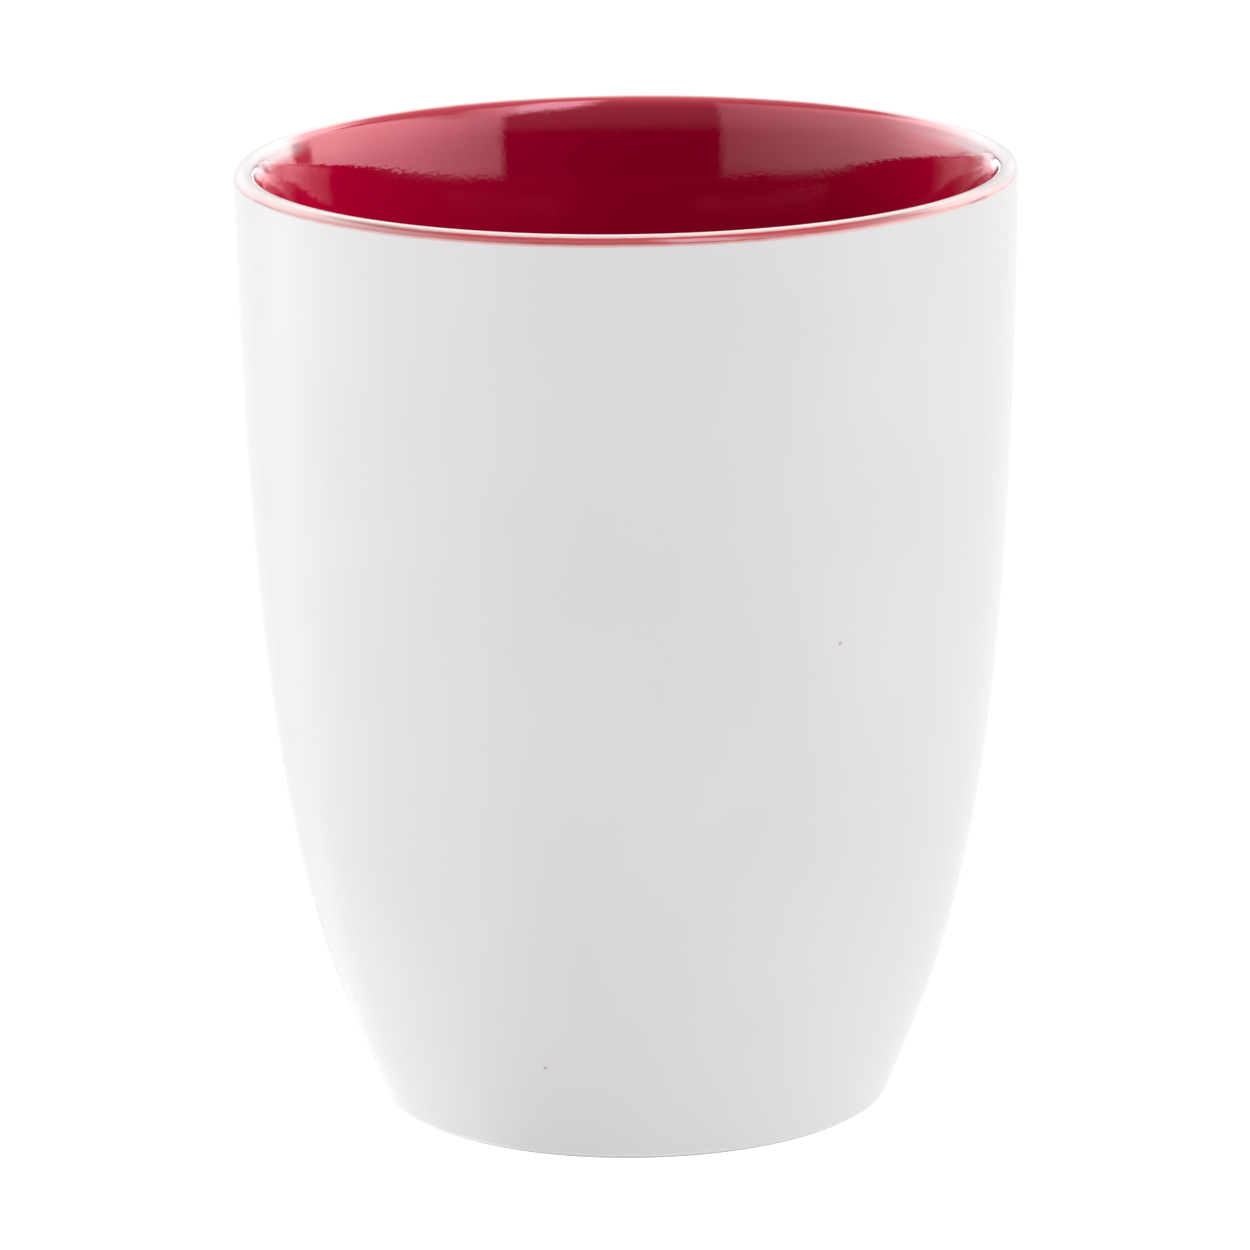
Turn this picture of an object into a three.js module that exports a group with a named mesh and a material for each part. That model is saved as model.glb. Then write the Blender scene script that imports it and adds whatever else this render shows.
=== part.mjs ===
import * as THREE from "three";

// A tapered ceramic cup without a handle, in millimetres, with +Z up and standing on Z = 0.
// A fired body carries three glaze coats: white outside, red inside and over the lip, and white
// in the recess under the floor. The ring that the cup stands on is left bare.

// Overall shape of the glazed cup
const HEIGHT = 102;
const RIM_DIAMETER = 83;
const FOOT_DIAMETER = 52.3;

// The wall leaves the foot leaning outwards and reaches the lip almost upright.
// Fullness is how far each lean carries along the wall, as a share of the wall's rise.
const FOOT_LEAN_DEG = 23.3;
const RIM_LEAN_DEG = 0.8;
const FOOT_FULLNESS = 0.193;
const RIM_FULLNESS = 0.668;

// Wall and lip: the inside flares over the last stretch, so the wall thins into the lip.
// Just under the crown a second, tighter flare eases the lip's inner edge.
const WALL_THICKNESS = 4.8;
const LIP_THICKNESS = 2.3;
const LIP_TAPER = 21;
const LIP_EASE = 0.3;
const LIP_EASE_DEPTH = 3;

// Floor, and the fillet between floor and wall inside
const FLOOR_THICKNESS = 5;
const FLOOR_FILLET = 13;

// Foot: a rounded glazed corner, and a bare ring that stands a little below it
const FOOT_CORNER_RADIUS = 1.1;
const RING_STANDOUT = 0.3;
const RING_WIDTH = 3.4;
const RING_CHAMFER = 0.2;
const RECESS_DEPTH = 2.4;
const RECESS_FILLET = 1.2;

// Glaze coats: each lies on the body with a hairline space behind it
const GLAZE_THICKNESS = 0.3;
const COAT_GAP = 0.05;

// The red coat wraps over the lip and ends this far above the lip's widest line, outside
const RED_EDGE_DEG = 12;

// Facets of the round surfaces
const FACETS = 48;
const WALL_STEPS = 14;
const WALL_STEP_BIAS = 1.6;
const LIP_STEPS = 6;
const FILLET_STEPS = 5;
const CORNER_STEPS = 3;
const SEARCH_STEPS = 40;

const BODY_INSET = GLAZE_THICKNESS + COAT_GAP;
const LIP_RADIUS = LIP_THICKNESS / 2;
const LIP_FLARE = WALL_THICKNESS - LIP_THICKNESS - LIP_EASE;
const FLOOR_LEVEL = RECESS_DEPTH + FLOOR_THICKNESS;
const RING_OUTER_RADIUS = FOOT_DIAMETER / 2 - COAT_GAP;
const RING_INNER_RADIUS = RING_OUTER_RADIUS - RING_WIDTH;
const RECESS_RADIUS = RING_INNER_RADIUS - BODY_INSET;

// Profiles are drawn in the half plane with x as the radius and y as the height.
function point(radius, height) {
  return new THREE.Vector2(radius, height);
}

function heading(degrees) {
  const angle = THREE.MathUtils.degToRad(degrees);
  return point(Math.cos(angle), Math.sin(angle));
}

function along(start, degrees, distance) {
  return start.clone().addScaledVector(heading(degrees), distance);
}

function arc(centre, radius, fromDegrees, toDegrees, steps) {
  const points = [];
  for (let i = 0; i <= steps; i++) {
    const degrees = THREE.MathUtils.lerp(fromDegrees, toDegrees, i / steps);
    points.push(along(centre, degrees, radius));
  }
  return points;
}

// Centres of the rounded foot corner, the lip and the recess's fillet
const footCentre = point(FOOT_DIAMETER / 2, RING_STANDOUT + FOOT_CORNER_RADIUS);
const lipCentre = point(RIM_DIAMETER / 2 - LIP_RADIUS, HEIGHT - LIP_RADIUS);
const recessCentre = point(RECESS_RADIUS - RECESS_FILLET, RECESS_DEPTH - RECESS_FILLET);

// The finished outside wall is one curve from the foot corner to the lip.
function wallCurve() {
  const start = along(footCentre, -FOOT_LEAN_DEG, FOOT_CORNER_RADIUS);
  const end = along(lipCentre, -RIM_LEAN_DEG, LIP_RADIUS);
  const rise = end.y - start.y;
  const footHandle = along(start, 90 - FOOT_LEAN_DEG, FOOT_FULLNESS * rise);
  const rimHandle = along(end, -90 - RIM_LEAN_DEG, RIM_FULLNESS * rise);
  return new THREE.CubicBezierCurve(start, footHandle, rimHandle, end);
}

const wall = wallCurve();

// The wall's lean from upright at a share of its length, in degrees
function wallLean(share) {
  const tangent = wall.getTangentAt(share);
  return THREE.MathUtils.radToDeg(Math.atan2(tangent.x, tangent.y));
}

// A point at some depth under the finished outside surface
function underWall(share, depth) {
  return along(wall.getPointAt(share), -wallLean(share), -depth);
}

// Shares of the wall's length from one place up to the lip, closer together towards the lip
function wallShares(start) {
  const shares = [];
  for (let i = 0; i <= WALL_STEPS; i++) {
    const left = (1 - i / WALL_STEPS) ** WALL_STEP_BIAS;
    shares.push(1 - left * (1 - start));
  }
  return shares;
}

// Thickness of the glazed wall, which grows from the lip's to the full one over the two flares
function wallThickness(share) {
  const depth = wall.getPointAt(1).y - wall.getPointAt(share).y;
  const taper = Math.max(0, 1 - depth / LIP_TAPER);
  const ease = Math.max(0, 1 - depth / LIP_EASE_DEPTH);
  return WALL_THICKNESS - LIP_FLARE * taper ** 2 - LIP_EASE * ease ** 2;
}

// Lean of the inside wall where it runs into the lip, from the slopes of the two flares there
function insideLipLean() {
  const slope = 2 * LIP_FLARE / LIP_TAPER + 2 * LIP_EASE / LIP_EASE_DEPTH;
  return RIM_LEAN_DEG + THREE.MathUtils.radToDeg(Math.atan(slope));
}

// Share of the wall's length where the inside wall meets the floor's fillet: there the fillet's
// centre, square to the wall, is one fillet radius above the floor.
function filletShare() {
  let low = 0;
  let high = 1;
  for (let i = 0; i < SEARCH_STEPS; i++) {
    const middle = (low + high) / 2;
    const centre = underWall(middle, wallThickness(middle) + FLOOR_FILLET);
    if (centre.y < FLOOR_LEVEL + FLOOR_FILLET) {
      low = middle;
    } else {
      high = middle;
    }
  }
  return (low + high) / 2;
}

// Outside surface from the foot corner's underside up to the lip, at an inset from the finished one
function outsideSkin(inset) {
  const corner = arc(footCentre, FOOT_CORNER_RADIUS - inset, -90, -FOOT_LEAN_DEG, CORNER_STEPS);
  const side = wallShares(0).slice(1).map((share) => underWall(share, inset));
  return [...corner, ...side];
}

// Lip's rounded crown from a direction on its outside over to the flared inside
function lipSkin(inset, fromDegrees) {
  return arc(lipCentre, LIP_RADIUS - inset, fromDegrees, 180 - insideLipLean(), LIP_STEPS);
}

// Inside surface from just under the lip down the wall, round the fillet and across to the axis
function insideSkin(inset) {
  const start = filletShare();
  const shares = wallShares(start).slice(1, -1).reverse();
  const side = shares.map((share) => underWall(share, wallThickness(share) - inset));
  const centre = underWall(start, wallThickness(start) + FLOOR_FILLET);
  const fillet = arc(centre, FLOOR_FILLET + inset, -wallLean(start), -90, FILLET_STEPS);
  return [...side, ...fillet, point(0, FLOOR_LEVEL - inset)];
}

// Surface of the recess under the floor, from the ring's inner side to the axis
function recessSkin(inset) {
  const fillet = arc(recessCentre, RECESS_FILLET + inset, 0, 90, CORNER_STEPS);
  return [...fillet, point(0, RECESS_DEPTH + inset)];
}

// Bare ring that the cup stands on, from its outer side to its inner side
function ringProfile() {
  const shoulder = RING_STANDOUT + BODY_INSET;
  return [
    point(RING_OUTER_RADIUS, shoulder),
    point(RING_OUTER_RADIUS, RING_CHAMFER),
    point(RING_OUTER_RADIUS - RING_CHAMFER, 0),
    point(RING_INNER_RADIUS + RING_CHAMFER, 0),
    point(RING_INNER_RADIUS, RING_CHAMFER),
  ];
}

function bodyProfile() {
  const under = [...ringProfile(), ...recessSkin(BODY_INSET)].reverse();
  const outside = outsideSkin(BODY_INSET);
  const lip = lipSkin(BODY_INSET, -RIM_LEAN_DEG).slice(1);
  return [...under, ...outside, ...lip, ...insideSkin(BODY_INSET)];
}

function redGlazeProfile() {
  const face = [...lipSkin(0, RED_EDGE_DEG), ...insideSkin(0)];
  const back = [...lipSkin(GLAZE_THICKNESS, RED_EDGE_DEG), ...insideSkin(GLAZE_THICKNESS)];
  return [...back.reverse(), ...face];
}

// The white coat runs from under the foot corner up to the red edge on the lip.
function whiteGlazeProfile() {
  const gapDegrees = THREE.MathUtils.radToDeg(COAT_GAP / LIP_RADIUS);
  const edge = RED_EDGE_DEG - gapDegrees;
  const face = [...outsideSkin(0), along(lipCentre, edge, LIP_RADIUS)];
  const back = [...outsideSkin(GLAZE_THICKNESS), along(lipCentre, edge, LIP_RADIUS - GLAZE_THICKNESS)];
  return [...face, ...back.reverse(), face[0]];
}

function baseGlazeProfile() {
  const face = [point(RECESS_RADIUS, RING_STANDOUT), ...recessSkin(0)];
  const back = [point(RECESS_RADIUS + GLAZE_THICKNESS, RING_STANDOUT), ...recessSkin(GLAZE_THICKNESS)];
  return [...face.reverse(), ...back];
}

// A profile turned about the Z axis
function turned(name, profile, material) {
  const geometry = new THREE.LatheGeometry(profile, FACETS).rotateX(Math.PI / 2);
  const mesh = new THREE.Mesh(geometry, material);
  mesh.name = name;
  return mesh;
}

function finish(color, roughness) {
  return new THREE.MeshStandardMaterial({ color, roughness, metalness: 0 });
}

const biscuit = finish(0xe6e0d6, 0.75);
const whiteGlaze = finish(0xf1efee, 0.08);
const redGlaze = finish(0x8d0021, 0.06);

const cup = new THREE.Group();
cup.name = "cup";
cup.add(turned("ceramic_body", bodyProfile(), biscuit));
cup.add(turned("red_inner_glaze", redGlazeProfile(), redGlaze));
cup.add(turned("white_outer_glaze", whiteGlazeProfile(), whiteGlaze));
cup.add(turned("white_base_glaze", baseGlazeProfile(), whiteGlaze));

export default cup;
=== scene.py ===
"""Looks of a tapered ceramic cup: white glaze outside, red glaze inside and over the lip.

Every piece is a fine turned mesh on the profile of the CAD solid that it stands for. It differs by about
0.1 mm at most: the lip's inner edge runs smoothly into the wall, and the wall is a little uneven.
Lengths are in metres and angles in degrees, in the CAD frame, unless a comment says otherwise.
"""

import math

import bmesh
import bpy
import numpy as np
from mathutils import Matrix, Vector


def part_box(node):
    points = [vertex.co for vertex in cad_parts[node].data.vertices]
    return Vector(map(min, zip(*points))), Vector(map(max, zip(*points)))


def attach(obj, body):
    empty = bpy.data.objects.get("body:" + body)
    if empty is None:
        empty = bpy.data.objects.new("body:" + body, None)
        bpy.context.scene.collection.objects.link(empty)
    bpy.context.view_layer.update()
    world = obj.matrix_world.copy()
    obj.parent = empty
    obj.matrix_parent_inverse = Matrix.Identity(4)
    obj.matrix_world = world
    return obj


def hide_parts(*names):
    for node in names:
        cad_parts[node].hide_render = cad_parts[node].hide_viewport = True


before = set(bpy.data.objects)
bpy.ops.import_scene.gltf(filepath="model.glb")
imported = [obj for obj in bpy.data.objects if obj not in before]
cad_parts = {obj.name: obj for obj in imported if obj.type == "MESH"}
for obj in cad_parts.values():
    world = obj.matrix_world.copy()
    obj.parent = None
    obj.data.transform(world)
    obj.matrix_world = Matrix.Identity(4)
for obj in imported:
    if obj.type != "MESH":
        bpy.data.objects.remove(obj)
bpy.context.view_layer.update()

MM = 0.001

# Sizes read from the CAD solids
white_low, white_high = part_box("white_outer_glaze")
red_low, red_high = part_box("red_inner_glaze")
base_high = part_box("white_base_glaze")[1]
body_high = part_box("ceramic_body")[1]
HEIGHT = red_high.z
RIM_RADIUS = white_high.x
RING_STANDOUT = white_low.z
BODY_INSET = RIM_RADIUS - body_high.x

# The cup's shape, as in the CAD
GLAZE = 0.3 * MM
COAT_GAP = BODY_INSET - GLAZE
FOOT_RADIUS = 26.15 * MM
FOOT_CORNER = 1.1 * MM
FOOT_LEAN = 23.3
RIM_LEAN = 0.8
FOOT_FULLNESS = 0.193
RIM_FULLNESS = 0.668
WALL = 4.8 * MM
LIP = 2.3 * MM
LIP_TAPER = 21 * MM
LIP_FLARE = 2.2 * MM
LIP_RADIUS = LIP / 2
RECESS_RADIUS = base_high.x - GLAZE
RECESS_DEPTH = base_high.z - GLAZE
RECESS_FILLET = 1.2 * MM
FLOOR_LEVEL = red_low.z + GLAZE
FLOOR_FILLET = 13 * MM
RING_OUTER = FOOT_RADIUS - COAT_GAP
RING_INNER = RECESS_RADIUS + BODY_INSET

# Smoother than the CAD: the inside runs into the lip's round without an edge, a little above the wall's
# upper end, and the bare ring's edges are rounded
LIP_EASE = 0.2235 * MM
LIP_EASE_DEPTH = 3 * MM
LIP_JOIN = 0.411 * MM
RING_ROUND = 0.25 * MM

# Mesh fineness. A point nearer to the axis than AXIS_RADIUS lies on it.
SEGMENTS = 288
WALL_ROWS = 60
WALL_ROW_BIAS = 1.6
LIP_ROWS = 24
CORNER_ROWS = 10
FILLET_ROWS = 20
FLOOR_ROWS = 10
AXIS_RADIUS = 1e-9
SHARP_ANGLE = 40
SEARCH_CLOSE = 1e-9

# The red coat ends at this angle above the lip's widest line, outside: lower than in the CAD, as far
# down as the red line shows
RED_EDGE = 0


def heading(degrees):
    angle = math.radians(degrees)
    return np.array([math.cos(angle), math.sin(angle)])


def arc(centre, radius, start, end, rows):
    return [centre + radius * heading(start + (end - start) * i / rows) for i in range(rows + 1)]


# Centres of the rounded foot corner, the lip and the recess's fillet, as radius and height
foot_centre = np.array([FOOT_RADIUS, RING_STANDOUT + FOOT_CORNER])
lip_centre = np.array([RIM_RADIUS - LIP_RADIUS, HEIGHT - LIP_RADIUS])
recess_centre = np.array([RECESS_RADIUS - RECESS_FILLET, RECESS_DEPTH - RECESS_FILLET])


def wall_handles():
    """The four control points of the outside wall's curve."""
    start = foot_centre + FOOT_CORNER * heading(-FOOT_LEAN)
    end = lip_centre + LIP_RADIUS * heading(-RIM_LEAN)
    rise = end[1] - start[1]
    foot_handle = start + FOOT_FULLNESS * rise * heading(90 - FOOT_LEAN)
    rim_handle = end + RIM_FULLNESS * rise * heading(-90 - RIM_LEAN)
    return start, foot_handle, rim_handle, end


HANDLES = wall_handles()

# Place along the wall's curve, a little past its end, where the inside runs into the lip's round
JOIN_PLACE = 1 + LIP_JOIN / (3 * (HANDLES[3] - HANDLES[2])[1])


def wall_point(t, depth):
    """A point of the wall at a depth under its finished outside."""
    a, b, c, d = HANDLES
    place = (1 - t) ** 3 * a + 3 * t * (1 - t) ** 2 * b + 3 * t * t * (1 - t) * c + t ** 3 * d
    along = (1 - t) ** 2 * (b - a) + 2 * t * (1 - t) * (c - b) + t * t * (d - c)
    along = along / np.linalg.norm(along)
    return place - depth * np.array([along[1], -along[0]])


def wall_lean(t):
    outward = wall_point(t, 0) - wall_point(t, MM)
    return -math.degrees(math.atan2(outward[1], outward[0]))


def wall_thickness(t):
    depth = HANDLES[3][1] - wall_point(t, 0)[1]
    taper = max(0.0, 1 - depth / LIP_TAPER)
    ease = max(0.0, 1 - depth / LIP_EASE_DEPTH)
    return WALL - LIP_FLARE * taper ** 2 - LIP_EASE * ease ** 2


def inside_lip_lean():
    taper = LIP_FLARE * (1 + LIP_JOIN / LIP_TAPER) / LIP_TAPER
    ease = LIP_EASE * (1 + LIP_JOIN / LIP_EASE_DEPTH) / LIP_EASE_DEPTH
    return RIM_LEAN + math.degrees(math.atan(2 * taper + 2 * ease))


def fillet_place():
    """Place along the wall where the inside runs into the floor's fillet."""
    low, high = 0.0, 1.0
    while high - low > SEARCH_CLOSE:
        t = (low + high) / 2
        if wall_point(t, wall_thickness(t) + FLOOR_FILLET)[1] < FLOOR_LEVEL + FLOOR_FILLET:
            low = t
        else:
            high = t
    return low


def outside_skin(inset):
    corner = arc(foot_centre, FOOT_CORNER - inset, -90, -FOOT_LEAN, CORNER_ROWS)
    return corner + [wall_point(i / WALL_ROWS, inset) for i in range(1, WALL_ROWS + 1)]


def inside_skin(inset):
    """From just under the lip down the wall, round the fillet and across the floor to the axis."""
    start = fillet_place()
    reach = JOIN_PLACE - start
    places = [JOIN_PLACE - reach * (i / WALL_ROWS) ** WALL_ROW_BIAS for i in range(1, WALL_ROWS)]
    side = [wall_point(t, wall_thickness(t) - inset) for t in places]
    centre = wall_point(start, wall_thickness(start) + FLOOR_FILLET)
    fillet = arc(centre, FLOOR_FILLET + inset, -wall_lean(start), -90, FILLET_ROWS)
    level = FLOOR_LEVEL - inset
    floor = [np.array([centre[0] * (1 - i / FLOOR_ROWS), level]) for i in range(1, FLOOR_ROWS + 1)]
    return side + fillet + floor


def recess_skin(inset):
    fillet = arc(recess_centre, RECESS_FILLET + inset, 0, 90, CORNER_ROWS)
    level = RECESS_DEPTH + inset
    edge = recess_centre[0]
    ceiling = [np.array([edge * (1 - i / FLOOR_ROWS), level]) for i in range(1, FLOOR_ROWS + 1)]
    return fillet + ceiling


def ring_skin():
    """The bare ring's outer side, standing face and inner side, with rounded edges."""
    shoulder = np.array([RING_OUTER, RING_STANDOUT + BODY_INSET])
    outer = arc(np.array([RING_OUTER - RING_ROUND, RING_ROUND]), RING_ROUND, 0, -90, CORNER_ROWS)
    inner = arc(np.array([RING_INNER + RING_ROUND, RING_ROUND]), RING_ROUND, -90, -180, CORNER_ROWS)
    return [shoulder] + outer + inner


# Turned meshes

# Unevenness of the fired wall at the rim: an oval, and waves that twist from the foot to the rim
OVAL = 0.05 * MM
OVAL_TURN = 35
WAVES = 0.02 * MM
WAVE_COUNT = 5
WAVE_TWIST = 300


def wobble(azimuth, height):
    """How far the fired wall stands off a true circle, which grows from the foot to the rim."""
    share = height / HEIGHT
    oval = OVAL * math.cos(math.radians(2 * azimuth + OVAL_TURN))
    waves = WAVES * math.cos(math.radians(WAVE_COUNT * azimuth + WAVE_TWIST * share))
    return share * (oval + waves)


def turned(name, rows, closed=False):
    """A mesh of profile points turned about Z. A closed profile is a loop, the others end on the axis."""
    verts = []
    rings = []
    for radius, height in rows:
        if radius < AXIS_RADIUS:
            rings.append([len(verts)] * SEGMENTS)
            verts.append((0, 0, height))
            continue
        rings.append(range(len(verts), len(verts) + SEGMENTS))
        for j in range(SEGMENTS):
            azimuth = 360 * j / SEGMENTS
            x, y = (radius + wobble(azimuth, height)) * heading(azimuth)
            verts.append((x, y, height))
    following = rings[1:] + rings[:1] if closed else rings[1:]
    faces = []
    for low, high in zip(rings, following):
        for j in range(SEGMENTS):
            k = (j + 1) % SEGMENTS
            faces.append(list(dict.fromkeys((low[j], low[k], high[k], high[j]))))
    mesh = bpy.data.meshes.new(name)
    mesh.from_pydata(verts, [], faces)
    smooth_outwards(mesh)
    piece = bpy.data.objects.new(name, mesh)
    bpy.context.scene.collection.objects.link(piece)
    return piece


def smooth_outwards(mesh):
    work = bmesh.new()
    work.from_mesh(mesh)
    bmesh.ops.recalc_face_normals(work, faces=work.faces)
    work.to_mesh(mesh)
    work.free()
    mesh.shade_smooth()
    mesh.set_sharp_from_angle(angle=math.radians(SHARP_ANGLE))


def settle(piece, node, material):
    """The piece stands for a CAD node, rides on the cup and takes its material."""
    piece.data.materials.append(material)
    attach(piece, "root")
    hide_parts(node)


# Shader building

# Most of a noise lies between these values
NOISE_LOW = 0.3
NOISE_HIGH = 0.7


class Nodes:
    """Adds nodes to one shader tree. An input is a number, a colour or another node's output."""

    def __init__(self, tree):
        self.tree = tree

    def add(self, kind, output=0, inputs=(), **settings):
        node = self.tree.nodes.new(kind)
        for name, value in settings.items():
            setattr(node, name, value)
        for name, value in dict(inputs).items():
            self.feed(node.inputs[name], value)
        return node.outputs[output]

    def feed(self, socket, value):
        if isinstance(value, bpy.types.NodeSocket):
            self.tree.links.new(value, socket)
        else:
            socket.default_value = value

    def math(self, operation, first, second=0.0):
        return self.add("ShaderNodeMath", operation=operation, inputs={0: first, 1: second})

    def ramp(self, value, low, high, stops):
        """Colours by a value: stops are pairs of value and colour, from low to high."""
        share = self.scaled(value, low, high, 0, 1)
        node = self.tree.nodes.new("ShaderNodeValToRGB")
        self.feed(node.inputs["Fac"], share)
        elements = node.color_ramp.elements
        while len(elements) < len(stops):
            elements.new(0.5)
        for element, (place, colour) in zip(elements, stops):
            element.position = (place - low) / (high - low)
            element.color = (*colour, 1)
        return node.outputs["Color"]

    def levels(self, value, low, high, stops):
        """A number by a value: stops are pairs of value and number, from low to high."""
        top = max(level for place, level in stops)
        shares = [(place, (level / top,) * 3) for place, level in stops]
        return self.math("MULTIPLY", self.ramp(value, low, high, shares), top)

    def around(self, azimuth, stops):
        """A number by azimuth from the camera's side."""
        return self.levels(azimuth, -180, 180, stops)

    def scaled(self, value, from_low, from_high, to_low, to_high):
        inputs = {"Value": value, "From Min": from_low, "From Max": from_high}
        return self.add("ShaderNodeMapRange", inputs=inputs | {"To Min": to_low, "To Max": to_high})

    def mix(self, factor, first, second):
        node = self.tree.nodes.new("ShaderNodeMix")
        node.data_type = "RGBA"
        for name, value in (("Factor_Float", factor), ("A_Color", first), ("B_Color", second)):
            self.feed(next(s for s in node.inputs if s.identifier == name), value)
        return next(s for s in node.outputs if s.identifier == "Result_Color")

    def equals(self, value, whole):
        """1 where the value is the given whole number, and 0 elsewhere."""
        away = self.math("ABSOLUTE", self.math("SUBTRACT", value, whole))
        return self.math("LESS_THAN", away, 0.5)

    def noise(self, place, size, detail=2.0):
        """Noise from 0 to 1 with lumps of about the given size in metres."""
        inputs = {"Vector": place, "Scale": 1 / size, "Detail": detail}
        return self.add("ShaderNodeTexNoise", inputs=inputs)

    def spread(self, noise, low, high):
        """A number from low to high by a noise."""
        return self.scaled(noise, NOISE_LOW, NOISE_HIGH, low, high)

    def tones(self, noise, first, second):
        """A colour from the first to the second by a noise."""
        return self.ramp(noise, NOISE_LOW, NOISE_HIGH, ((NOISE_LOW, first), (NOISE_HIGH, second)))

    def place(self):
        return self.add("ShaderNodeTexCoord", output="Object")

    def split(self, vector):
        node = self.tree.nodes.new("ShaderNodeSeparateXYZ")
        self.feed(node.inputs[0], vector)
        return node.outputs["X"], node.outputs["Y"], node.outputs["Z"]

    def radius(self, x, y):
        squares = self.math("ADD", self.math("MULTIPLY", x, x), self.math("MULTIPLY", y, y))
        return self.math("SQRT", squares)

    def front_angle(self, x, y):
        """Azimuth in degrees from the camera's side, positive to the camera's right."""
        angle = self.math("ARCTAN2", x, self.math("MULTIPLY", y, -1))
        return self.math("DEGREES", angle)

    def bump(self, height, depth):
        return self.add("ShaderNodeBump", inputs={"Height": height, "Distance": depth})


def new_material(name):
    material = bpy.data.materials.new(name)
    material.use_nodes = True
    return material, Nodes(material.node_tree), material.node_tree.nodes["Principled BSDF"].inputs


# Surface of every fired glaze: a fine ripple on slower orange peel, with duller and glossier patches
RIPPLE_SIZE = 0.5 * MM
RIPPLE_DEPTH = 0.006 * MM
PEEL_SIZE = 7 * MM
PEEL_DEPTH = 0.02 * MM
SHEEN_SIZE = 4 * MM


def glaze_ripple(nodes, place):
    ripple = nodes.bump(nodes.noise(place, RIPPLE_SIZE), RIPPLE_DEPTH)
    inputs = {"Height": nodes.noise(place, PEEL_SIZE), "Distance": PEEL_DEPTH, "Normal": ripple}
    return nodes.add("ShaderNodeBump", inputs=inputs)


# White glaze with a faint cloud
WHITE = (0.83, 0.82, 0.82)
WHITE_DULL = (0.80, 0.785, 0.785)
WHITE_ROUGHNESS = (0.04, 0.08)
WHITE_IOR = 1.5
CLOUD_SIZE = 25 * MM

# Two pinholes in the white glaze, on the side that the camera sees. PINHOLE_CORE is the share of their
# radius that is darkest.
PINHOLES = (Vector((-9.6, -29.8, 11.2)) * MM, Vector((21.5, -33.5, 57.5)) * MM)
PINHOLE_RADIUS = 0.28 * MM
PINHOLE_CORE = 0.3
PINHOLE_COLOUR = (0.52, 0.47, 0.44, 1)


def pinholes(nodes, place, glaze):
    """The glaze's colour with a dark dot at each pinhole."""
    for centre in PINHOLES:
        inputs = {0: place, 1: centre}
        away = nodes.add("ShaderNodeVectorMath", output="Value", operation="DISTANCE", inputs=inputs)
        dot = nodes.scaled(away, PINHOLE_CORE * PINHOLE_RADIUS, PINHOLE_RADIUS, 1, 0)
        glaze = nodes.mix(dot, glaze, PINHOLE_COLOUR)
    return glaze


def white_glaze():
    material, nodes, shader = new_material("white_glaze")
    place = nodes.place()
    cloud = nodes.tones(nodes.noise(place, CLOUD_SIZE), WHITE_DULL, WHITE)
    nodes.feed(shader["Base Color"], pinholes(nodes, place, cloud))
    nodes.feed(shader["Roughness"], nodes.spread(nodes.noise(place, SHEEN_SIZE), *WHITE_ROUGHNESS))
    nodes.feed(shader["IOR"], WHITE_IOR)
    nodes.feed(shader["Normal"], glaze_ripple(nodes, place))
    return material


# Red inside: deep, and lighter at the left and right sides as seen from the camera: painted light where
# more light falls on them
DEEP_RED = (0.41, 0.0, 0.034, 1)
LIT_SIDE_RED = (0.70, 0.0, 0.055, 1)

# Reds and pale colours over the lip
THIN_RED = (0.54, 0.015, 0.045)
LIP_RED = (0.60, 0.05, 0.08)
LINE_RED = (0.52, 0.03, 0.055)
LINE_SALMON = (0.62, 0.10, 0.105)
LINE_DARK = (0.46, 0.09, 0.10)
LIP_PINK = (0.78, 0.41, 0.40)
LIP_CREAM = (0.80, 0.67, 0.62)
LIP_WHITE = (0.78, 0.76, 0.755)
LIP_BLUSH = (0.82, 0.62, 0.64)
# A darker grey rose: painted shade on the crown of the rosy lip
SHADED_LIP_ROSE = (0.48, 0.40, 0.385)
LINE_FAINT = (0.72, 0.40, 0.38)

# The red glaze mirrors more red than green and blue inside, less of all deeper down, and all alike
# over the lip, which it turns to between two angles from the crown
RED_IOR = 1.79
RED_ROUGHNESS = (0.02, 0.05)
RED_GLOSS = (1.0, 0.5, 0.55, 1)
DEEP_GLOSS = (0.3, 0.1, 0.11, 1)
DEEP_FROM = HEIGHT - 7 * MM
DEEP_BELOW = HEIGHT - 10 * MM
LIP_GLOSS = (0.5, 0.5, 0.5, 1)
LIP_GLOSS_BETWEEN = (-60, 0)

# Colour over the lip by the angle from its crown, positive outwards: the glaze thickens inside, breaks
# to cream over the crown and gathers again in a line at its outer edge. That line is faint on the rosy
# lip, whose crown is a darker grey rose of painted shade, and the pale lip has none.
INSIDE = -180
OUTSIDE = 120
OVER_LINED_LIP = (
    (-60, THIN_RED), (-36, LIP_RED), (-24, LIP_PINK), (-13, LIP_CREAM), (28, LIP_CREAM), (33, LIP_PINK),
    (40, LINE_RED), (48, LINE_RED), (55, LINE_SALMON), (62, LINE_DARK), (68, LINE_DARK),
    (72, LINE_SALMON), (78, LIP_PINK), (87, LIP_BLUSH), (92, WHITE),
)
OVER_ROSY_SHADED_LIP = (
    (-60, THIN_RED), (-40, LIP_RED), (-29, LIP_PINK), (-20, LIP_WHITE), (0, SHADED_LIP_ROSE), (50, SHADED_LIP_ROSE),
    (64, LINE_FAINT), (74, LINE_FAINT), (83, WHITE),
)
# The pale lip is white over its crown, and its white and pink run deep into the inside at the left and
# right ends as a painted reflection
OVER_PALE_LIP_AND_REFLECTION = ((-112, LIP_PINK), (-98, LIP_WHITE), (70, LIP_WHITE), (83, WHITE))

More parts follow.
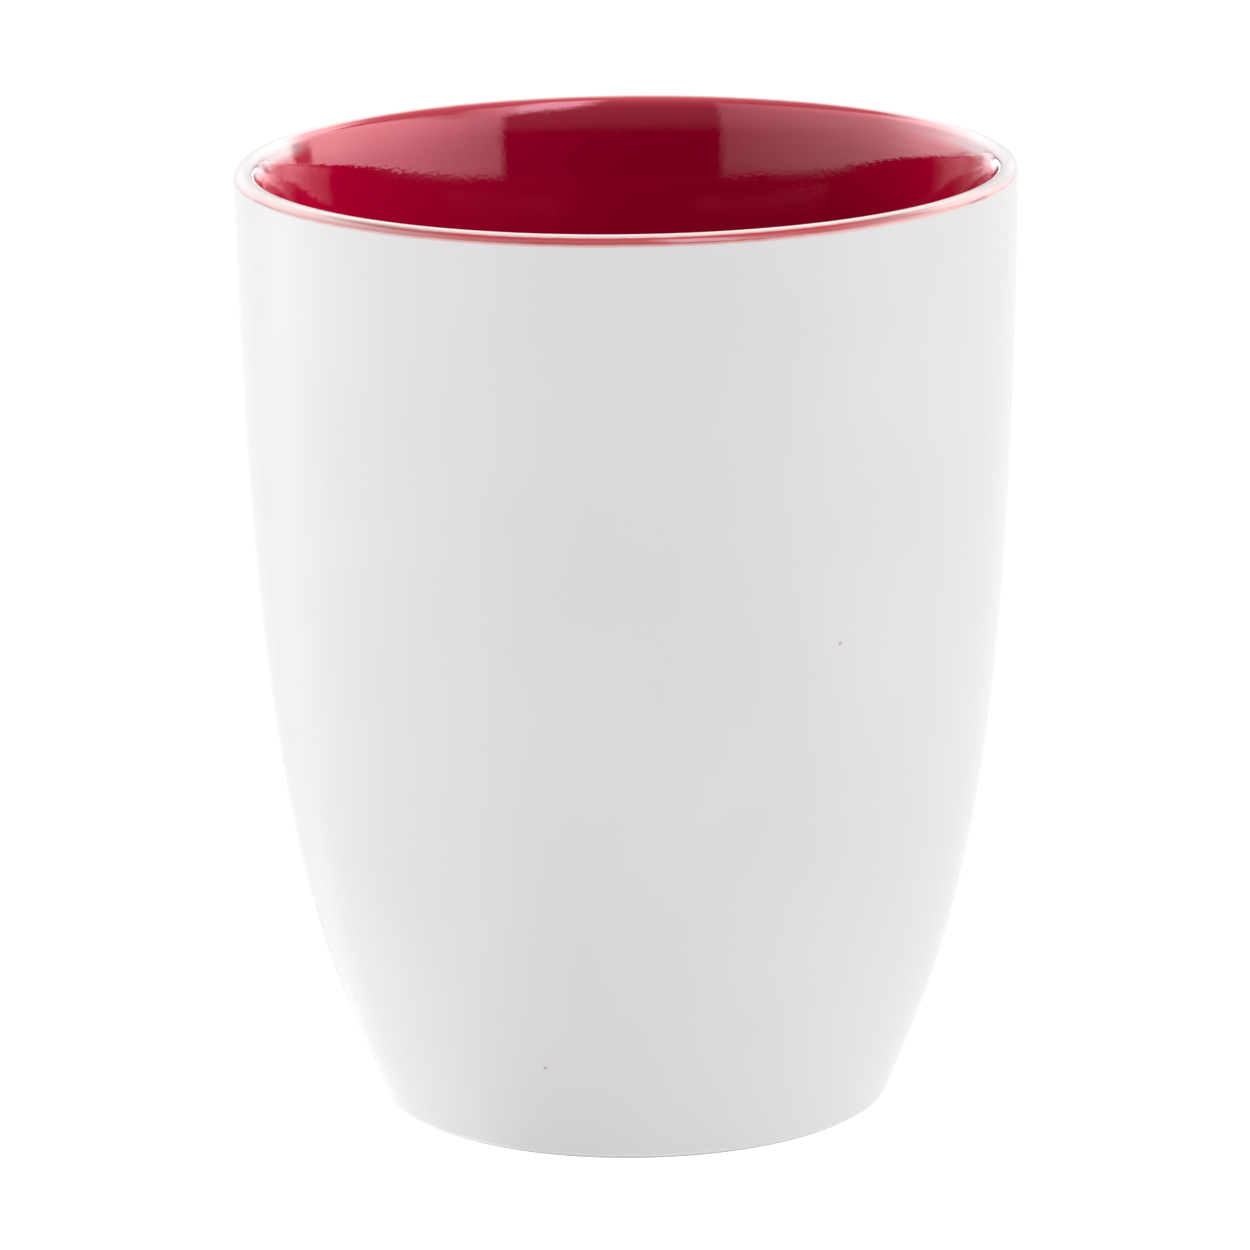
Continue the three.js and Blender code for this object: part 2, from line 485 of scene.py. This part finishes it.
# Angles between which the inside's red sets in, further down under the pale lip, where the painted
# reflection reaches deeper
UNDER_RED_LIP = (-94, -74)
UNDER_PALE_LIP_AND_REFLECTION = (-126, -110)

# How far these colours stray round the lip, in lumps
RAGGED = 3
RAGGED_SIZE = 1.5 * MM
RAGGED_DETAIL = 4

# How far the lip is a lined one, and elsewhere how far it is the rosy lip with painted shade on its
# crown, by azimuth from the camera's side
LINE_STRENGTH = (
    (-180, 1.0), (-119, 1.0), (-112, 0), (-75, 0), (-62, 0.15), (-45, 0.5), (-31, 0.8), (-24, 1.0),
    (30, 1.0), (40, 0.65), (50, 0.45), (60, 0.3), (68, 0.1), (74, 0),
    (108, 0), (122, 0.65), (135, 1.0), (180, 1.0),
)
ROSY_SHADE_STRENGTH = ((-84, 0), (-68, 1), (70, 1), (84, 0))

# Share of the painted lighter red inside, by azimuth from the camera's side
SIDE_LIGHT_SHARE = (
    (-180, 0), (-150, 0.17), (-133, 0.4), (-115, 0.85), (-80, 0.9), (-30, 0.2),
    (30, 0.2), (80, 1.0), (114, 1.0), (121, 0.8), (131, 0.3), (142, 0.05), (180, 0),
)

# The painted lighter red fades out between these heights, above the floor's fillet
SIDE_LIGHT_FROM = 60 * MM
SIDE_LIGHT_TO = FLOOR_LEVEL + FLOOR_FILLET


def crown_angle(nodes, x, y, z):
    """Angle round the lip from its crown, positive outwards."""
    outward = nodes.math("SUBTRACT", nodes.radius(x, y), float(lip_centre[0]))
    upward = nodes.math("SUBTRACT", z, float(lip_centre[1]))
    return nodes.math("DEGREES", nodes.math("ARCTAN2", outward, upward))


def inside_red(nodes, azimuth, z):
    # Painted light: a lighter red on the sides, by azimuth from the camera's side
    side_light = nodes.around(azimuth, SIDE_LIGHT_SHARE)
    side_light = nodes.math("MULTIPLY", side_light, nodes.scaled(z, SIDE_LIGHT_TO, SIDE_LIGHT_FROM, 0, 1))
    return nodes.mix(side_light, DEEP_RED, LIT_SIDE_RED)


def lip_colour(nodes, angle, over, under, inside):
    """Colours over one kind of lip, with the inside's red under it."""
    colours = nodes.ramp(angle, INSIDE, OUTSIDE, over)
    return nodes.mix(nodes.scaled(angle, *under, 1, 0), colours, inside)


def red_gloss(nodes, angle, z):
    gloss = nodes.mix(nodes.scaled(z, DEEP_FROM, DEEP_BELOW, 0, 1), RED_GLOSS, DEEP_GLOSS)
    return nodes.mix(nodes.scaled(angle, *LIP_GLOSS_BETWEEN, 0, 1), gloss, LIP_GLOSS)


def red_glaze():
    material, nodes, shader = new_material("red_glaze")
    place = nodes.place()
    x, y, z = nodes.split(place)
    ragged = nodes.scaled(nodes.noise(place, RAGGED_SIZE, RAGGED_DETAIL), 0, 1, -RAGGED, RAGGED)
    angle = nodes.math("ADD", crown_angle(nodes, x, y, z), ragged)
    azimuth = nodes.front_angle(x, y)
    inside = inside_red(nodes, azimuth, z)
    lined = lip_colour(nodes, angle, OVER_LINED_LIP, UNDER_RED_LIP, inside)
    # Painted shade: the rosy lip's darker crown
    rosy_shaded = lip_colour(nodes, angle, OVER_ROSY_SHADED_LIP, UNDER_RED_LIP, inside)
    # Painted reflection: the pale lip's white reaching deep inside
    pale_and_reflected = lip_colour(nodes, angle, OVER_PALE_LIP_AND_REFLECTION, UNDER_PALE_LIP_AND_REFLECTION, inside)
    unlined = nodes.mix(nodes.around(azimuth, ROSY_SHADE_STRENGTH), pale_and_reflected, rosy_shaded)
    colour = nodes.mix(nodes.around(azimuth, LINE_STRENGTH), unlined, lined)
    nodes.feed(shader["Base Color"], colour)
    nodes.feed(shader["Roughness"], nodes.spread(nodes.noise(place, SHEEN_SIZE), *RED_ROUGHNESS))
    nodes.feed(shader["IOR"], RED_IOR)
    nodes.feed(shader["Specular Tint"], red_gloss(nodes, angle, z))
    nodes.feed(shader["Normal"], glaze_ripple(nodes, place))
    return material


# Bare fired ceramic with a dry grain
BISCUIT_DARK = (0.66, 0.62, 0.56)
BISCUIT_PALE = (0.78, 0.75, 0.70)
BISCUIT_ROUGHNESS = (0.7, 0.9)
GRAIN_SIZE = 0.4 * MM
GRAIN_DETAIL = 6
GRAIN_DEPTH = 0.05 * MM


def bare_ceramic():
    material, nodes, shader = new_material("bare_ceramic")
    grain = nodes.noise(nodes.place(), GRAIN_SIZE, GRAIN_DETAIL)
    nodes.feed(shader["Base Color"], nodes.tones(grain, BISCUIT_DARK, BISCUIT_PALE))
    nodes.feed(shader["Roughness"], nodes.spread(grain, *BISCUIT_ROUGHNESS))
    nodes.feed(shader["Normal"], nodes.bump(grain, GRAIN_DEPTH))
    return material


# Pieces of the cup


def make_body(material):
    under = list(reversed(ring_skin() + recess_skin(BODY_INSET)))
    lip = arc(lip_centre, LIP_RADIUS - BODY_INSET, -RIM_LEAN, 180 - inside_lip_lean(), LIP_ROWS)
    piece = turned("bare_body", under + outside_skin(BODY_INSET) + lip[1:] + inside_skin(BODY_INSET))
    settle(piece, "ceramic_body", material)


def make_outside_glaze(material):
    face = outside_skin(0) + [lip_centre + LIP_RADIUS * heading(RED_EDGE)]
    back = outside_skin(GLAZE) + [lip_centre + (LIP_RADIUS - GLAZE) * heading(RED_EDGE)]
    piece = turned("outside_glaze", face + back[::-1], closed=True)
    settle(piece, "white_outer_glaze", material)


def make_inside_glaze(material):
    crown_end = 180 - inside_lip_lean()
    face = arc(lip_centre, LIP_RADIUS, RED_EDGE, crown_end, LIP_ROWS) + inside_skin(0)
    back = arc(lip_centre, LIP_RADIUS - GLAZE, RED_EDGE, crown_end, LIP_ROWS) + inside_skin(GLAZE)
    piece = turned("inside_glaze", back[::-1] + face)
    settle(piece, "red_inner_glaze", material)


def make_underside_glaze(material):
    face = [np.array([RECESS_RADIUS, RING_STANDOUT])] + recess_skin(0)
    back = [np.array([RECESS_RADIUS + GLAZE, RING_STANDOUT])] + recess_skin(GLAZE)
    piece = turned("underside_glaze", face[::-1] + back)
    settle(piece, "white_base_glaze", material)


# Studio: camera, floor and light

# The camera's place and turn fit the photo. The sensor's width is in millimetres.
CAMERA_PLACE = Vector((0, -900 * MM, 269.2 * MM))
CAMERA_PITCH = 13.59
CAMERA_YAW = -0.044
CAMERA_ROLL = -0.704
PHOTO_SIDE = 1250
FOCAL_PIXELS = 8651
SENSOR = 36
CLIP_START = 0.05


def make_camera():
    pitch, yaw, roll = (math.radians(a) for a in (CAMERA_PITCH, CAMERA_YAW, CAMERA_ROLL))
    level = Vector((math.cos(yaw), -math.sin(yaw), 0))
    ahead = Vector((math.sin(yaw), math.cos(yaw), 0))
    forward = math.cos(pitch) * ahead - math.sin(pitch) * Vector((0, 0, 1))
    upright = level.cross(forward)
    right = math.cos(roll) * level + math.sin(roll) * upright
    up = math.cos(roll) * upright - math.sin(roll) * level
    lens = bpy.data.cameras.new("camera")
    lens.sensor_width = SENSOR
    lens.lens = FOCAL_PIXELS / PHOTO_SIDE * SENSOR
    lens.clip_start = CLIP_START
    camera = bpy.data.objects.new("camera", lens)
    turn = Matrix((right, up, -forward)).transposed().to_4x4()
    camera.matrix_world = Matrix.Translation(CAMERA_PLACE) @ turn
    bpy.context.scene.collection.objects.link(camera)
    bpy.context.scene.camera = camera


# The floor is a light table a hair below the standing face. It glows more to the camera and in the gloss
# than it lights the cup.
FLOOR_HALF = 6.0
FLOOR_DROP = 0.02 * MM
FLOOR_COLOUR = (0.26, 0.26, 0.26, 1)
FLOOR_GLOW = 0.68
FLOOR_GLOW_TO_CAMERA = 0.55
FLOOR_GLOW_IN_GLOSS = 0.09
PLAIN_WHITE = (1, 1, 1, 1)

# The floor glows more on its left side, by azimuth from the camera's side, and more so further out
LEFT_GLOW = 0.67
LEFT_SIDE = ((-135, 0), (-115, 1), (-45, 1), (-25, 0))
LEFT_GLOW_REACH = 0.4
LEFT_GLOW_NEAR = 0.25


def floor_glow(nodes):
    x, y = nodes.split(nodes.place())[:2]
    side = nodes.around(nodes.front_angle(x, y), LEFT_SIDE)
    near = LEFT_GLOW_NEAR * LEFT_GLOW
    reach = nodes.scaled(nodes.radius(x, y), 0, LEFT_GLOW_REACH, near, LEFT_GLOW)
    glow = nodes.math("ADD", nodes.math("MULTIPLY", side, reach), FLOOR_GLOW)
    seen = nodes.add("ShaderNodeLightPath", output="Is Camera Ray")
    mirrored = nodes.add("ShaderNodeLightPath", output="Is Glossy Ray")
    glow = nodes.math("ADD", glow, nodes.math("MULTIPLY", seen, FLOOR_GLOW_TO_CAMERA))
    return nodes.math("ADD", glow, nodes.math("MULTIPLY", mirrored, FLOOR_GLOW_IN_GLOSS))


def floor_material():
    material, nodes, shader = new_material("floor")
    nodes.feed(shader["Base Color"], FLOOR_COLOUR)
    nodes.feed(shader["Roughness"], 1.0)
    nodes.feed(shader["Specular IOR Level"], 0.0)
    nodes.feed(shader["Emission Color"], PLAIN_WHITE)
    nodes.feed(shader["Emission Strength"], floor_glow(nodes))
    return material


def make_floor(material):
    far = FLOOR_HALF
    low = -FLOOR_DROP
    corners = [(-far, -far, low), (far, -far, low), (far, far, low), (-far, far, low)]
    mesh = bpy.data.meshes.new("floor")
    mesh.from_pydata(corners, [], [range(len(corners))])
    mesh.materials.append(material)
    sheet = bpy.data.objects.new("floor", mesh)
    bpy.context.scene.collection.objects.link(sheet)


# Light that falls on the cup from low walls, by azimuth from the camera's side, and from a ceiling
# that brightens overhead and to the right. Heights are sines of the angle above the floor.
WALL_LIGHT = (
    (-132, 0), (-131, 1.6), (-60, 2.95), (-59, 0),
    (40, 0), (41, 1.7), (122, 0.75), (123, 0),
)
WALL_TOP = 0.29
CEILING_LOW = 0.3
CEILING_OVERHEAD = 3.5

# What the glaze mirrors: tall soft lights on both sides, dimmer towards the back, with a dark gap at the
# camera, and a dim ceiling that starts above the camera
MIRRORED_WALL = (
    (-180, 1.0), (-165, 1.6), (-152, 2.2), (-140, 3.0), (-126, 3.6), (-109, 3.4), (-90, 2.35),
    (-33, 0.85), (-31, 0), (40, 0), (42, 1.65), (78, 3.25), (105, 3.75), (116, 3.3), (120, 3.6),
    (130, 3.3), (142, 2.7), (155, 1.4), (180, 1.0),
)
MIRRORED_RISE = ((0, 0.7), (0.1, 0.8), (0.17, 1.0), (0.33, 1.18), (0.5, 1.45), (0.6, 1.5), (0.75, 0))
MIRRORED_CEILING = ((0.25, 0), (0.33, 0.3), (0.47, 0.5), (1.0, 1.2))

# Dark panels before those lights, by azimuth and height: a narrow one, a low one and a high one
DARK_PANELS = (
    (((117, 0), (120, 1), (128, 1), (131, 0)), ((0.16, 1), (0.24, 0))),
    (((-140, 0), (-134, 1), (-104, 1), (-98, 0)), ((0.06, 1), (0.09, 0))),
    (((48, 0), (60, 1), (108, 1), (118, 0)), ((0.40, 0), (0.48, 1))),
)
DARK_PANEL_LEVEL = 0.13

# Light that the glaze mirrors again gains each time. Mirrored just twice, it only comes from low on the
# sides.
REPEAT_GAIN = 2.2
MOST_REPEATS = 2
TWICE_ACROSS = (
    (-140, 0), (-130, 1.0), (-122, 1.0), (-114, 0.5), (-95, 0.5), (-86, 1.0), (-66, 1.0), (-50, 0),
    (38, 0), (41, 1.0), (90, 1.0), (98, 0.6), (112, 0.6), (120, 1.0), (128, 1.0), (140, 0),
)
TWICE_UP = ((0.40, 1), (0.46, 0))

# A soft box above the camera's right side, which only shows as a highlight. Its lower edge slants.
BOX_ACROSS = ((8, 0), (18, 1), (34, 1), (46, 0))
BOX_SLANT = 0.2
BOX_UP = ((0.545, 0), (0.585, 1), (0.93, 1), (0.98, 0))
BOX_LIGHT = 7.5
BOX_TINT = (0.75, 0.85, 1.0, 1)
STUDIO_TINT = (1.0, 0.98, 0.99, 1)


def window(nodes, azimuth, height, across, up):
    """A share from 0 to 1 by azimuth and height."""
    return nodes.math("MULTIPLY", nodes.around(azimuth, across), nodes.levels(height, 0, 1, up))


def fallen_light(nodes, azimuth, x, z):
    wall = nodes.around(azimuth, WALL_LIGHT)
    overhead = nodes.scaled(z, WALL_TOP, 1, CEILING_LOW, CEILING_OVERHEAD)
    ceiling = nodes.math("MULTIPLY", overhead, nodes.scaled(x, -1, 1, 0, 1))
    return nodes.scaled(nodes.math("GREATER_THAN", z, WALL_TOP), 0, 1, wall, ceiling)


def mirrored_light(nodes, azimuth, z):
    wall = nodes.around(azimuth, MIRRORED_WALL)
    light = nodes.math("MULTIPLY", wall, nodes.levels(z, 0, 1, MIRRORED_RISE))
    for across, up in DARK_PANELS:
        panel = window(nodes, azimuth, z, across, up)
        light = nodes.math("MULTIPLY", light, nodes.scaled(panel, 0, 1, 1, DARK_PANEL_LEVEL))
    return nodes.math("ADD", light, nodes.levels(z, 0, 1, MIRRORED_CEILING))


def repeat_gain(nodes, azimuth, z):
    """1 for light that is mirrored once, and the gain of light that is mirrored more often."""
    depth = nodes.add("ShaderNodeLightPath", output="Glossy Depth")
    repeats = nodes.math("MINIMUM", nodes.math("SUBTRACT", depth, 1), MOST_REPEATS)
    gain = nodes.math("POWER", REPEAT_GAIN, repeats)
    twice = nodes.equals(depth, 2)
    kept = nodes.scaled(twice, 0, 1, 1, window(nodes, azimuth, z, TWICE_ACROSS, TWICE_UP))
    return nodes.math("MULTIPLY", gain, kept)


def first_mirrored(nodes):
    """1 for light that reaches the camera by gloss alone, and 0 for light that falls on the cup."""
    glossy = nodes.add("ShaderNodeLightPath", output="Is Glossy Ray")
    depth = nodes.add("ShaderNodeLightPath", output="Diffuse Depth")
    return nodes.math("MULTIPLY", glossy, nodes.equals(depth, 0))


def make_world():
    world = bpy.data.worlds.new("studio")
    world.use_nodes = True
    bpy.context.scene.world = world
    nodes = Nodes(world.node_tree)
    x, y, z = nodes.split(nodes.add("ShaderNodeTexCoord", output="Generated"))
    azimuth = nodes.front_angle(x, y)
    slanted = nodes.math("ADD", z, nodes.math("MULTIPLY", x, BOX_SLANT))
    box = window(nodes, azimuth, slanted, BOX_ACROSS, BOX_UP)
    mirrored = nodes.scaled(box, 0, 1, mirrored_light(nodes, azimuth, z), BOX_LIGHT)
    mirrored = nodes.math("MULTIPLY", mirrored, repeat_gain(nodes, azimuth, z))
    in_gloss = first_mirrored(nodes)
    light = nodes.scaled(in_gloss, 0, 1, fallen_light(nodes, azimuth, x, z), mirrored)
    seen = nodes.add("ShaderNodeLightPath", output="Is Camera Ray")
    background = world.node_tree.nodes["Background"].inputs
    tint = nodes.mix(nodes.math("MULTIPLY", box, in_gloss), STUDIO_TINT, BOX_TINT)
    nodes.feed(background["Color"], tint)
    nodes.feed(background["Strength"], nodes.scaled(seen, 0, 1, light, 1.0))


white = white_glaze()
make_body(bare_ceramic())
make_outside_glaze(white)
make_inside_glaze(red_glaze())
make_underside_glaze(white)
make_camera()
make_floor(floor_material())
make_world()
bpy.context.scene.view_settings.view_transform = "Standard"
